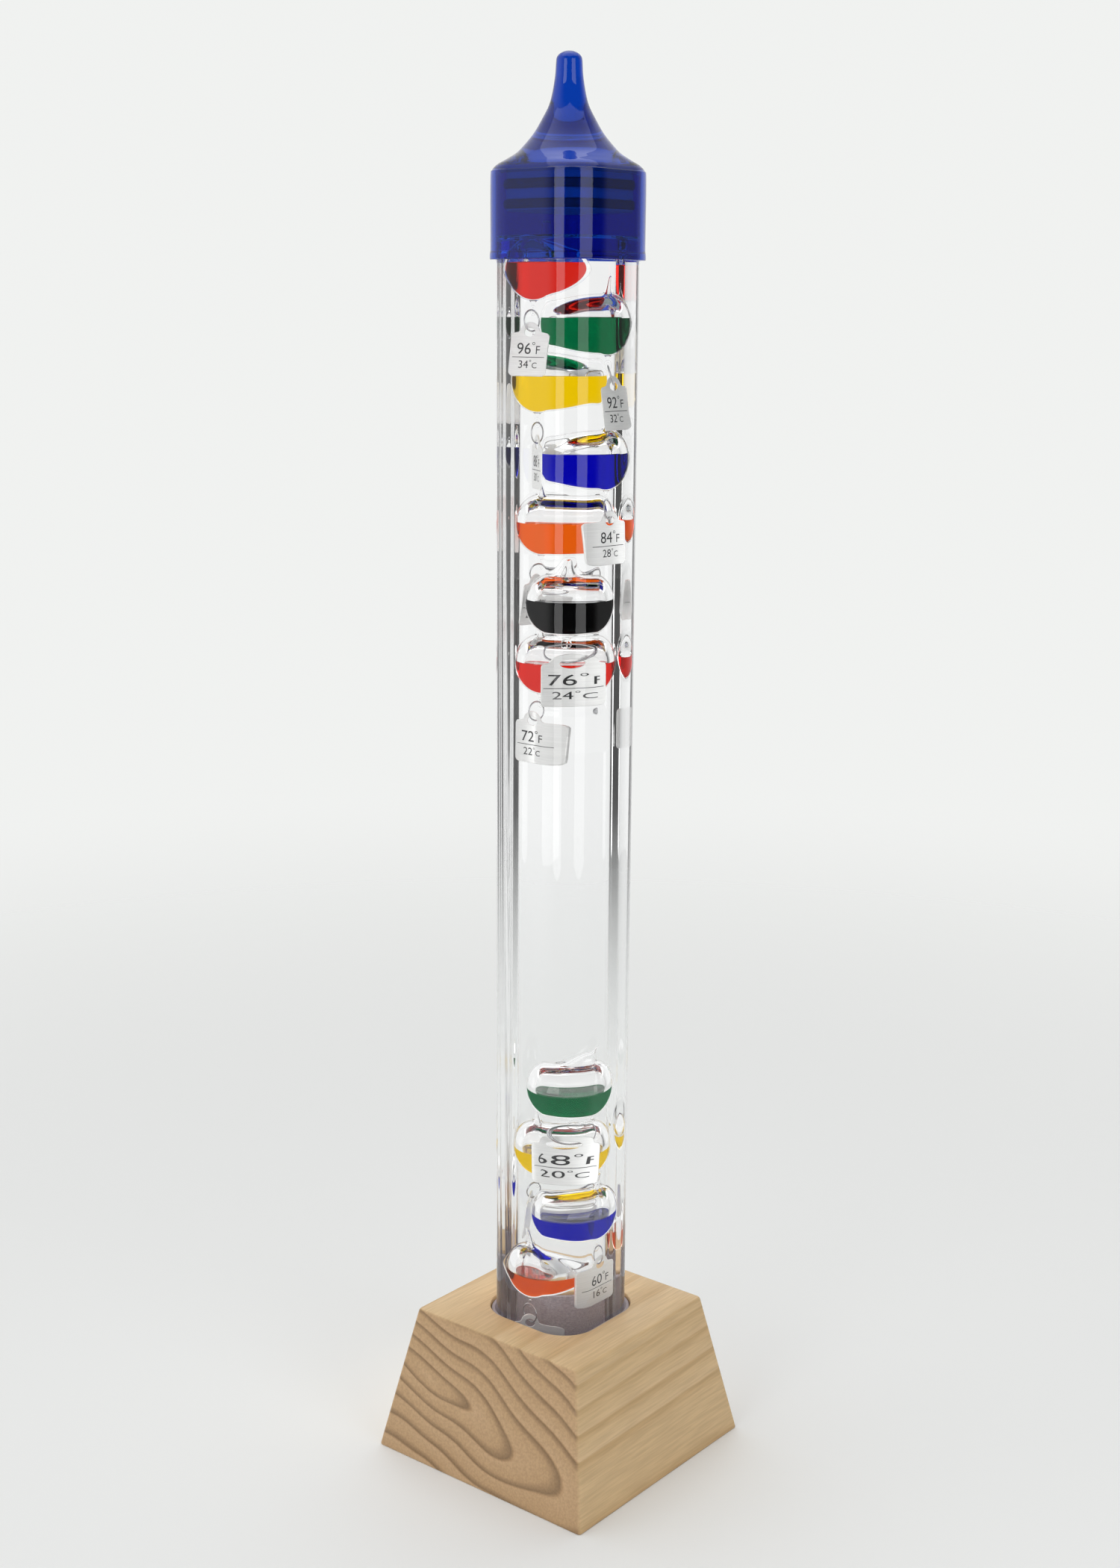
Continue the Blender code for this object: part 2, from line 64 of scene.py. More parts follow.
def squircle(side: float, corner: float, steps: int = 14, guard: float = 0.5) -> np.ndarray:
    """Outline of a rounded square, anticlockwise.

    Each corner is a quarter circle about a centre set in from both sides by its radius. One more
    point on each flat beside a corner keeps the flat exactly flat when it is shaded smooth.

    Args:
        side: Distance between opposite flats.
        corner: Corner radius; half the side gives a circle.
        steps: Chords in each corner.
        guard: Distance of the extra point from the end of the corner.

    Returns:
        Points, shape (4 * (steps + 3), 2).
    """
    corner = min(corner, side / 2 - 0.002)
    reach = side / 2 - corner
    turn = np.concatenate([[0.0], np.linspace(0, np.pi / 2, steps + 1), [np.pi / 2]])
    push = np.zeros_like(turn)
    push[0], push[-1] = -min(guard, reach / 2), min(guard, reach / 2)
    quarter = np.arange(4)[:, None] * np.pi / 2
    angle = turn[None, :] + quarter
    diagonal = math.sqrt(2) * reach
    x = diagonal * np.cos(quarter + np.pi / 4) + corner * np.cos(angle) - np.sin(angle) * push
    y = diagonal * np.sin(quarter + np.pi / 4) + corner * np.sin(angle) + np.cos(angle) * push
    return np.stack([x.ravel(), y.ravel()], axis=1)


def square_rings(stations: np.ndarray) -> np.ndarray:
    """Rounded squares stacked at heights.

    Args:
        stations: Rows of side, corner radius and height.

    Returns:
        Rings, shape (rows, points, 3).
    """
    rings = [np.column_stack([outline, np.full(len(outline), height)])
             for outline, height in ((squircle(s, c), z) for s, c, z in stations)]
    return np.stack(rings)


def turned_rings(profile: np.ndarray, steps: int = TURN_STEPS) -> np.ndarray:
    """A profile of radius and height carried round the vertical axis.

    Args:
        profile: Rows of radius and height.
        steps: Points round each ring.

    Returns:
        Rings, shape (rows, steps, 3).
    """
    turn = np.linspace(0, 2 * np.pi, steps, endpoint=False)
    radius, height = profile[:, :1], profile[:, 1:]
    return np.stack([radius * np.cos(turn), radius * np.sin(turn), height + 0 * turn], axis=2)


def rounded(points: np.ndarray, radii: np.ndarray, steps: int = 4) -> np.ndarray:
    """A polyline with each inner corner replaced by a curve.

    The curve is a quadratic one whose control point is the corner and whose ends lie on the two
    legs, one radius away from it.

    Args:
        points: Rows of two or more coordinates.
        radii: Setback for each row, 0 for a sharp corner; the ends are kept.
        steps: Chords in each curve.

    Returns:
        The rounded polyline.
    """
    share = np.linspace(0, 1, steps + 1)[:, None]
    rows = [points[:1]]
    for before, corner, after, radius in zip(points[:-2], points[1:-1], points[2:], radii[1:-1]):
        if radius <= 0:
            rows.append(corner[None])
            continue
        start = corner + (before - corner) * radius / np.linalg.norm(before - corner)
        end = corner + (after - corner) * radius / np.linalg.norm(after - corner)
        rows.append((1 - share) ** 2 * start + 2 * share * (1 - share) * corner + share ** 2 * end)
    rows.append(points[-1:])
    return np.concatenate(rows)


def eased(stations: np.ndarray, count: int) -> np.ndarray:
    """A smooth curve through stations: a cubic between each two, with the mean slope at each.

    Args:
        stations: Rows of coordinates.
        count: Points in each span.

    Returns:
        Points along the curve, the last station included.
    """
    slope = np.gradient(stations, axis=0)
    t = np.linspace(0, 1, count, endpoint=False)[None, :, None]
    a, b = stations[:-1, None], stations[1:, None]
    m, n = slope[:-1, None], slope[1:, None]
    curve = ((2 * t ** 3 - 3 * t ** 2 + 1) * a + (t ** 3 - 2 * t ** 2 + t) * m
             + (3 * t ** 2 - 2 * t ** 3) * b + (t ** 3 - t ** 2) * n)
    return np.concatenate([curve.reshape(-1, stations.shape[1]), stations[-1:]])


def skin(rings: np.ndarray, loop: bool = False) -> tuple[np.ndarray, list[list[int]]]:
    """Joins rings into one closed surface.

    Args:
        rings: Shape (rows, points, 3), anticlockwise seen from where the chain leads.
        loop: True joins the last ring to the first, False closes both ends with a pole.

    Returns:
        Vertices and faces.
    """
    rows, around, _ = rings.shape
    index = np.arange(rows * around).reshape(rows, around)
    lower, upper = (index, np.roll(index, -1, axis=0)) if loop else (index[:-1], index[1:])
    quads = np.stack([lower, np.roll(lower, -1, axis=1), np.roll(upper, -1, axis=1), upper], axis=2)
    faces = quads.reshape(-1, 4).tolist()
    points = rings.reshape(-1, 3)
    if loop:
        return points, faces
    first, last = len(points), len(points) + 1
    start, end = index[0], index[-1]
    faces += np.stack([np.full(around, first), np.roll(start, -1), start], axis=1).tolist()
    faces += np.stack([np.full(around, last), end, np.roll(end, -1)], axis=1).tolist()
    return np.concatenate([points, rings[0].mean(0)[None], rings[-1].mean(0)[None]]), faces


def wire(path: np.ndarray, thickness: float, steps: int = 10) -> np.ndarray:
    """A round wire along a closed flat path.

    Each ring lies in the plane of the path's own normal and its outward direction.

    Args:
        path: Points of the closed path, shape (n, 3).
        thickness: Wire radius.
        steps: Points round the wire.

    Returns:
        Rings, shape (n, steps, 3), to be joined in a loop.
    """
    middle = path.mean(0)
    along = np.roll(path, -1, axis=0) - np.roll(path, 1, axis=0)
    along /= np.linalg.norm(along, axis=1)[:, None]
    normal = np.cross(path[0] - middle, path[len(path) // 4] - middle)
    normal /= np.linalg.norm(normal)
    outward = np.cross(along, normal)
    turn = np.linspace(0, 2 * np.pi, steps, endpoint=False)[None, :, None]
    return path[:, None] + thickness * (np.cos(turn) * outward[:, None] + np.sin(turn) * normal)


def piece(name: str, parts: list[tuple[np.ndarray, list[list[int]]]],
          materials: list[bpy.types.Material], pick: np.ndarray | None = None,
          smooth: bool = True) -> bpy.types.Object:
    """Makes one object from surfaces in millimetres.

    Args:
        name: Object name.
        parts: Vertices and faces of each closed surface.
        materials: The object's materials.
        pick: Material number of each face.
        smooth: Smooth shading with sharp edges past 40 degrees.

    Returns:
        The object, at the origin.
    """
    shift = np.cumsum([0] + [len(points) for points, _ in parts[:-1]])
    faces = [[corner + int(step) for corner in face]
             for step, (_, part) in zip(shift, parts) for face in part]
    mesh = bpy.data.meshes.new(name)
    mesh.from_pydata((np.concatenate([points for points, _ in parts]) * MM).tolist(), [], faces)
    for material in materials:
        mesh.materials.append(material)
    if pick is not None:
        mesh.polygons.foreach_set("material_index", pick.astype(np.int32))
    if smooth:
        mesh.shade_smooth()
        mesh.set_sharp_from_angle(angle=math.radians(40))
    mesh.validate()
    made = bpy.data.objects.new(name, mesh)
    bpy.context.scene.collection.objects.link(made)
    return made


# ---------------------------------------------------------------- finishes

class Paint:
    """Builds a node tree around one Principled shader."""

    def __init__(self, name: str) -> None:
        """Starts a material of that name."""
        self.material = bpy.data.materials.new(name)
        self.material.use_nodes = True
        self.nodes = self.material.node_tree.nodes
        self.links = self.material.node_tree.links
        self.shader = next(n for n in self.nodes if n.type == "BSDF_PRINCIPLED")

    def set(self, **values: object) -> "Paint":
        """Sets the shader's own sockets, with _ for a space in each name."""
        for key, value in values.items():
            self.shader.inputs[key.replace("_", " ")].default_value = value
        return self

    def node(self, kind: str, inputs: dict[str | int, object] | None = None,
             **settings: object) -> bpy.types.Node:
        """Adds a node.

        Args:
            kind: Node type without the ShaderNode prefix.
            inputs: Socket values, or sockets to link from.
            settings: Attributes of the node.

        Returns:
            The node.
        """
        made = self.nodes.new("ShaderNode" + kind)
        for key, value in settings.items():
            setattr(made, key, value)
        for key, value in (inputs or {}).items():
            if isinstance(value, bpy.types.NodeSocket):
                self.links.new(value, made.inputs[key])
            else:
                made.inputs[key].default_value = value
        return made

    def place(self, scale: tuple[float, float, float] = (1, 1, 1),
              location: tuple[float, float, float] = (0, 0, 0)) -> bpy.types.NodeSocket:
        """Object coordinates after a mapping, in metres times scale."""
        coordinates = self.node("TexCoord")
        return self.node("Mapping", {"Vector": coordinates.outputs["Object"], "Scale": scale,
                                     "Location": location}).outputs["Vector"]

    def noise(self, where: bpy.types.NodeSocket, scale: float, detail: float = 2.0) -> bpy.types.NodeSocket:
        """Noise of that scale at a place."""
        return self.node("TexNoise", {"Vector": where, "Scale": scale, "Detail": detail}).outputs["Fac"]

    def ramp(self, value: bpy.types.NodeSocket, stops: list[tuple[float, tuple]]) -> bpy.types.NodeSocket:
        """A colour for a value, from stops of position and colour."""
        ramp = self.node("ValToRGB", {"Fac": value})
        band = ramp.color_ramp
        while len(band.elements) < len(stops):
            band.elements.new(0.5)
        for element, (position, colour) in zip(band.elements, stops):
            element.position, element.color = position, (*colour, 1.0)
        return ramp.outputs["Color"]

    def bump(self, height: bpy.types.NodeSocket, strength: float, distance: float) -> None:
        """Links a bump to the shader."""
        bump = self.node("Bump", {"Height": height, "Strength": strength, "Distance": distance})
        self.links.new(bump.outputs["Normal"], self.shader.inputs["Normal"])


@dataclass(frozen=True)
class ClearFinish:
    """A see-through body: glass, liquid or tinted plastic.

    The index is the one against what lies outside the surface, so a surface between two bodies of
    the same index has 1.
    """

    name: str
    colour: tuple[float, float, float] = (1.0, 1.0, 1.0)
    ior: float = 1.47
    roughness: float = 0.0
    waviness: float = 0.0

    def material(self) -> bpy.types.Material:
        """The finish as a material, with a slow waviness of drawn or moulded surfaces."""
        paint = Paint(self.name).set(Base_Color=(*self.colour, 1.0), Roughness=self.roughness,
                                     IOR=self.ior, Transmission_Weight=1.0)
        if self.waviness:
            paint.bump(paint.noise(paint.place(), 90.0, 1.0), self.waviness, 0.001)
        return paint.material


@dataclass(frozen=True)
class WoodFinish:
    """Varnished pine: growth rings round a line along the board, seen end-on and along the grain."""

    name: str = "pine"
    pith: tuple[float, float] = (-26.0, 26.0)
    flatness: float = 4.2
    slope: float = 15.0
    ring_pitch: float = 5.0
    early: tuple[float, float, float] = (0.80, 0.585, 0.335)
    mid: tuple[float, float, float] = (0.74, 0.52, 0.27)
    late: tuple[float, float, float] = (0.56, 0.345, 0.145)
    end_grain: tuple[float, float, float] = (0.76, 0.69, 0.68)
    end_contrast: float = 0.46

    def material(self) -> bpy.types.Material:
        """Rings are the distance from the pith, flattened sideways and bent by noise."""
        paint = Paint(self.name).set(Roughness=0.48, Coat_Weight=0.12, Coat_Roughness=0.3)
        centre = (-self.pith[0] * MM, 0.0, -self.pith[1] * MM)
        moved = paint.node("VectorMath", {0: paint.place(), 1: centre}, operation="ADD")
        bend = paint.node("TexNoise", {"Vector": paint.place((1.0, 0.16, 1.0)), "Scale": 22.0,
                                       "Detail": 1.0}).outputs["Color"]
        bend = paint.node("VectorMath", {0: bend, 1: (0.5, 0.5, 0.5)}, operation="SUBTRACT").outputs[0]
        bend = paint.node("VectorMath", {0: bend, "Scale": 0.018}, operation="SCALE").outputs[0]
        bent = paint.node("VectorMath", {0: moved.outputs[0], 1: bend}, operation="ADD").outputs[0]
        bent = paint.node("Mapping", {"Vector": bent, "Rotation": (0.0, math.radians(-self.slope), 0.0)})
        bent = bent.outputs["Vector"]
        flat = paint.node("VectorMath", {0: bent, 1: (1 / self.flatness, 0.0, 1.0)},
                          operation="MULTIPLY").outputs[0]
        radius = paint.node("VectorMath", {0: flat}, operation="LENGTH").outputs["Value"]
        rings = paint.node("Math", {0: radius, 1: 1 / (self.ring_pitch * MM)}, operation="MULTIPLY")
        share = paint.node("Math", {0: rings.outputs[0]}, operation="FRACT").outputs[0]
        colour = paint.ramp(share, [(0.0, self.early), (0.60, self.mid), (0.86, self.late),
                                    (0.92, self.late), (1.0, self.early)])
        uneven = paint.noise(paint.place((1.0, 0.1, 1.0)), 60.0, 1.0)
        faint = paint.node("Mix", {0: uneven, 6: colour, 7: (*self.mid, 1.0)}, data_type="RGBA")
        colour = faint.outputs[2]
        pores = paint.noise(paint.place((1.0, 0.05, 1.0)), 1400.0, 3.0)
        fleck = paint.ramp(pores, [(0.35, (0.80, 0.78, 0.75)), (0.65, (1.0, 1.0, 1.0))])
        mixed = paint.node("Mix", {0: 0.75, 6: colour, 7: fleck}, data_type="RGBA",
                           blend_type="MULTIPLY")
        facing = paint.node("SeparateXYZ", {0: paint.node("TexCoord").outputs["Normal"]}).outputs["Y"]
        facing = paint.node("Math", {0: facing, 1: 2.0}, operation="POWER").outputs[0]
        deep = paint.node("Math", {0: paint.ramp(share, [(0.0, (0, 0, 0)), (0.60, (0.1, 0.1, 0.1)),
                                                         (0.88, (1, 1, 1)), (0.96, (0, 0, 0))]),
                                   1: -self.end_contrast}, operation="MULTIPLY").outputs[0]
        deep = paint.node("Math", {0: deep, 1: 1.0}, operation="ADD").outputs[0]
        brown = paint.node("VectorMath", {0: self.end_grain, "Scale": deep}, operation="SCALE").outputs[0]
        ends = paint.node("Mix", {0: facing, 6: (1.0, 1.0, 1.0, 1.0), 7: brown},
                          data_type="RGBA").outputs[2]
        final = paint.node("Mix", {0: 1.0, 6: mixed.outputs[2], 7: ends}, data_type="RGBA",
                           blend_type="MULTIPLY")
        paint.links.new(final.outputs[2], paint.shader.inputs["Base Color"])
        paint.bump(pores, 0.12, 0.0004)
        return paint.material


@dataclass(frozen=True)
class GrainedFinish:
    """An opaque finish with fine grain: felt, rubber, brushed or drawn metal, ink."""

    name: str
    colour: tuple[float, float, float]
    roughness: float = 0.5
    metallic: float = 0.0
    grain: float = 900.0
    stretch: tuple[float, float, float] = (1.0, 1.0, 1.0)
    contrast: float = 0.1
    relief: float = 0.05

    def material(self) -> bpy.types.Material:
        """The colour varies by the contrast and the surface by the relief, on the same noise."""
        paint = Paint(self.name).set(Roughness=self.roughness, Metallic=self.metallic)
        value = paint.noise(paint.place(self.stretch), self.grain, 3.0)
        dark = tuple(c * (1 - self.contrast) for c in self.colour)
        colour = paint.ramp(value, [(0.3, dark), (0.7, self.colour)])
        paint.links.new(colour, paint.shader.inputs["Base Color"])
        paint.bump(value, self.relief, 0.0002)
        return paint.material


class Dye(Enum):
    """Colours of the liquids in the floats."""

    RED = (0.72, 0.018, 0.010)
    GREEN = (0.0, 0.135, 0.045)
    YELLOW = (0.93, 0.60, 0.0)
    BLUE = (0.0, 0.0, 0.42)
    ORANGE = (0.86, 0.12, 0.004)
    BLACK = (0.0008, 0.0008, 0.001)

    @property
    def slot(self) -> str:
        """The record's material slot of this dye."""
        return self.name.lower() + "_liquid"


# ---------------------------------------------------------------- sub-assemblies

@dataclass
class WoodenBase:
    """The tapered block and the liner in its pocket."""

    foot_side: float = 83.3
    top_side: float = 64.9
    height: float = 47.2
    edge: float = 1.1
    pocket_side: float = 38.9
    pocket_corner: float = 11.9
    pocket_floor: float = 17.2
    liner: float = 1.0
    liner_drop: float = 1.0
    seat_gap: float = 0.35

    def build(self) -> list[bpy.types.Object]:
        """Lofts both pieces through rounded squares, from the underside's middle to the pocket's."""
        profile = np.array([[self.foot_side - 2.4, 0.0], [self.foot_side, 0.0],
                            [self.top_side, self.height], [self.pocket_side, self.height],
                            [self.pocket_side, self.pocket_floor], [self.pocket_side - 3, self.pocket_floor]])
        profile = rounded(profile, np.array([0, 0.7, self.edge, 0.6, 0.4, 0]))
        inner = (profile[:, 0] < self.pocket_side + 1.3) & (profile[:, 1] > 1)
        corner = np.where(inner, self.pocket_corner, self.edge)
        stations = np.column_stack([profile[:, 0], corner, profile[:, 1]])
        block = piece("base_wood", [skin(square_rings(stations))], [WoodFinish().material()])
        outer = self.pocket_side - 2 * self.seat_gap
        top, foot = self.height - self.liner_drop, self.pocket_floor + self.seat_gap
        bore = outer - 2 * self.liner
        shape = np.array([[outer - 2, foot], [outer, foot], [outer, top], [bore, top],
                          [bore, foot + self.liner], [bore - 2, foot + self.liner]])
        shape = rounded(shape, np.array([0, 0.3, 0.3, 0.3, 0.3, 0]))
        rings = np.column_stack([shape[:, 0], self.pocket_corner - (self.pocket_side - shape[:, 0]) / 2,
                                 shape[:, 1]])
        felt = GrainedFinish("liner_felt", (0.46, 0.40, 0.42), 0.85, 0.0, 2600.0, contrast=0.35, relief=0.5)
        lining = piece("pocket_lining", [skin(square_rings(rings))], [felt.material()])
        for made, node, slot in ((block, "base_block", "pine"), (lining, "pocket_liner", "liner")):
            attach(made, "stand")
            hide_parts(node)
        return [block, lining]


@dataclass
class FilledColumn:
    """The square glass tube and the clear liquid in it.

    Both have nearly the same index, so light passes between them unbent: they are one body here,
    with a hollow above the liquid's surface.
    """

    side: float = 35.5
    corner: float = 10.6
    wall: float = 1.8
    foot: float = 18.9
    level: float = 380.6
    lip: float = 397.9

    def build(self) -> bpy.types.Object:
        """Lofts the body from the middle of its foot over the lip to the middle of the surface."""
        bore = self.side - 2 * self.wall
        shape = np.array([[self.side - 6, self.foot], [self.side, self.foot], [self.side, 60.0],
                          [self.side, 372.0], [self.side, self.lip], [bore, self.lip],
                          [bore, self.level], [bore - 1.6, self.level - 0.7], [bore - 5.0, self.level - 0.9]])
        shape = rounded(shape, np.array([0, 1.5, 0, 0, 0.8, 0.8, 0, 0.5, 0]))
        rings = np.column_stack([shape[:, 0], self.corner - (self.side - shape[:, 0]) / 2, shape[:, 1]])
        rings[:, 1] = np.maximum(rings[:, 1], 4.0)
        glass = ClearFinish("column_glass_and_fill", (0.985, 0.995, 0.992), 1.47, waviness=0.012)
        made = piece("filled_column", [skin(square_rings(rings))], [glass.material()])
        made.visible_shadow = False
        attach(made, "vessel")
        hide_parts("glass_column")
        return made


@dataclass
class Closure:
    """The cap with its drawn finial, and the stopper and two sealing rings under it."""

    side: float = 39.0
    corner: float = 12.35
    rim: float = 373.9
    lip_height: float = 1.6
    lip_flare: float = 0.2
    bore_side: float = 36.2
    bore_top: float = 399.8
    finial: list[tuple[float, float, float]] = field(default_factory=lambda: [
        (39.0, 12.35, 380.0), (39.0, 12.35, 396.4), (38.3, 12.3, 398.8), (36.2, 12.3, 400.4),
        (33.2, 13.6, 401.9), (28.6, 14.2, 404.2), (20.7, 10.35, 408.7), (15.2, 7.6, 413.2),
        (10.9, 5.45, 417.6), (8.3, 4.15, 423.9), (7.5, 3.75, 429.0)])
    tip: float = 431.6
    stopper_side: float = 29.5
    stopper_corner: float = 7.6
    stopper_foot: float = 387.5
    stopper_top: float = 399.4
    seals: tuple[float, float] = (394.7, 389.2)
    seal_height: float = 2.5

    def build(self) -> list[bpy.types.Object]:
        """Builds the cap, the stopper and the sealing rings."""
        return [self.cap(), self.stopper(), *self.sealing_rings()]

    def cap(self) -> bpy.types.Object:
        """Lofts the shell from the middle of its roof inside, over the rim, to the finial's tip."""
        gap = (self.side - self.bore_side) / 2
        bore_corner = self.corner - gap
        flare = self.side + 2 * self.lip_flare
        inside = np.array([[self.bore_side - 4, bore_corner, self.bore_top],
                           [self.bore_side, bore_corner, self.bore_top],
                           [self.bore_side, bore_corner, self.rim],
                           [flare, self.corner + self.lip_flare, self.rim],
                           [flare, self.corner + self.lip_flare, self.rim + self.lip_height],
                           [self.side, self.corner, self.rim + self.lip_height + 0.8],
                           [self.side, self.corner, 380.0]])
        inside = rounded(inside, np.array([0, 1.5, 0.5, 0.5, 0.6, 0.6, 0]))
        neck = eased(np.array(self.finial), 6)
        turn = np.linspace(0, np.pi / 2, 9)[1:-1]
        last = neck[-1]
        dome = np.column_stack([last[0] * np.cos(turn), last[0] / 2 * np.cos(turn),
                                last[2] + (self.tip - last[2]) * np.sin(turn)])
        rings = square_rings(np.concatenate([inside[:-1], neck, dome]))
        blue = ClearFinish("cap_blue", (0.0015, 0.045, 0.42), 1.46, 0.0, waviness=0.02)
        made = piece("cap_with_finial", [skin(rings)], [blue.material()])
        made.visible_shadow = False
        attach(made, "vessel")
        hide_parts("cap")
        return made

    def stopper(self) -> bpy.types.Object:
        """Lofts the stopper: a plug with a groove for each sealing ring and a flange on the lip."""
        low, high = self.seals[1], self.seals[0]
        half = self.seal_height / 2 + 0.1
        s, g = self.stopper_side, self.stopper_side - 1.6
        shape = [[s - 6, self.stopper_foot], [s, self.stopper_foot]]
        for z in (low, high):
            shape += [[s, z - half], [g, z - half], [g, z + half], [s, z + half]]
        shape += [[s, 398.3], [s + 4.5, 398.3], [s + 4.5, self.stopper_top], [s - 6, self.stopper_top]]
        shape = rounded(np.array(shape), np.array([0, 0.6] + [0.15] * 10 + [0.3, 0.3, 0]), 3)
        rings = np.column_stack([shape[:, 0], self.stopper_corner - (s - shape[:, 0]) / 2, shape[:, 1]])
        pale = GrainedFinish("stopper_plastic", (0.50, 0.62, 0.60), 0.45, contrast=0.08)
        made = piece("column_stopper", [skin(square_rings(rings))], [pale.material()])
        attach(made, "vessel")
        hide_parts("stopper")
        return made

    def sealing_rings(self) -> list[bpy.types.Object]:
        """Carries a rounded section round the stopper for each sealing ring."""
        rubber = GrainedFinish("seal_rubber", (0.10, 0.14, 0.13), 0.5, contrast=0.2).material()
        turn = np.linspace(0, 2 * np.pi, 16, endpoint=False)
        made = []
        for node, z in zip(("upper_seal_ring", "lower_seal_ring"), self.seals):
            width = self.stopper_side + 0.4 + 1.4 * np.cos(turn)
            rings = np.column_stack([width, self.stopper_corner - (self.stopper_side - width) / 2,
                                     z + self.seal_height / 2 * np.sin(turn)])
            ring = piece(node.replace("_seal", "_sealing"), [skin(square_rings(rings), loop=True)], [rubber])
            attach(ring, "vessel")
            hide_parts(node)
            made.append(ring)
        return made


@dataclass(frozen=True)
class Hang:
    """Where one float and its label hang: places in millimetres, angles in degrees."""

    label: int
    celsius: int
    dye: Dye
    centre: tuple[float, float, float]
    stem_lean: tuple[float, float]
    level: float
    ring_lean: float
    ring_toward: float
    tag_turn: float
    tag_lean: float
    ring_turn: float

    @property
    def eye(self) -> np.ndarray:
        """The middle of the hook's opening under the bulb."""
        return np.array(self.centre) - (0, 0, 11.8)

    @property
    def down(self) -> np.ndarray:
        """From the eye along the ring to the tag's hole."""
        lean, toward = math.radians(self.ring_lean), math.radians(self.ring_toward)
        return np.array([math.sin(lean) * math.cos(toward), math.sin(lean) * math.sin(toward),
                         -math.cos(lean)])

    @property
    def tag_frame(self) -> tuple[np.ndarray, np.ndarray, np.ndarray]:
        """Across the tag, up the tag, and out of its face."""
        turn, tip = math.radians(self.tag_turn), math.radians(self.tag_lean)
        across = np.array([math.cos(turn), math.sin(turn), 0.0])
        forward = np.array([math.sin(turn), -math.cos(turn), 0.0])
        up = np.array([0, 0, math.cos(tip)]) - forward * math.sin(tip)
        return across, up, np.cross(across, up)

    @property
    def ring_side(self) -> np.ndarray:
        """Across the ring in its own plane, which is also the line it swings about."""
        turn, yaw = math.radians(self.tag_turn), math.radians(self.ring_turn)
        across = np.array([math.cos(turn), math.sin(turn), 0.0])
        forward = np.array([math.sin(turn), -math.cos(turn), 0.0])
        side = across * math.cos(yaw) + forward * math.sin(yaw)
        side -= self.down * float(side @ self.down)
        return side / np.linalg.norm(side)


HANGS = (
    Hang(96, 34, Dye.RED, (-5.1, -3.5, 371.5), (0, 0), 1.8, 17, 260, 10, 17, 130),
    Hang(92, 32, Dye.GREEN, (2.8, 6.0, 356.0), (1.0, 0.5), 2.0, 23, 50, 95, 13, 130),
    Hang(88, 30, Dye.YELLOW, (-5.4, 0.6, 339.5), (-2.0, -0.5), 1.8, 0, 0, -50, 0, 55),
    Hang(84, 28, Dye.BLUE, (2.4, 6.1, 317.0), (0.8, 0.5), 1.9, 17, 35, 78, 5, 140),
    Hang(80, 26, Dye.ORANGE, (-6.4, 6.4, 297.5), (-1.8, 0.6), 1.0, 24, 170, 80, -11, 40),
    Hang(76, 24, Dye.BLACK, (-0.2, 1.5, 274.5), (1.2, -0.9), 1.3, 32, 320, 70, 0, 48),
    Hang(72, 22, Dye.RED, (-6.5, 6.5, 255.5), (-2.4, 1.6), 0.8, 28, 220, 0, 2, 125),
    Hang(68, 20, Dye.GREEN, (0.3, 3.1, 121.8), (2.2, 1.4), -0.2, 28, 285, 33, 10, 132),
    Hang(64, 18, Dye.YELLOW, (-6.4, 6.4, 100.0), (-1.6, 0.9), -0.4, 24, 190, -77, 8, 43),
    Hang(60, 16, Dye.BLUE, (1.5, 5.4, 79.5), (2.6, 0.2), -0.3, 32, 0, 85, 0, 75),
    Hang(56, 14, Dye.ORANGE, (-4.9, -2.4, 60.5), (-1.0, -1.0), -0.4, 0, 0, 40, 0, 51),
)


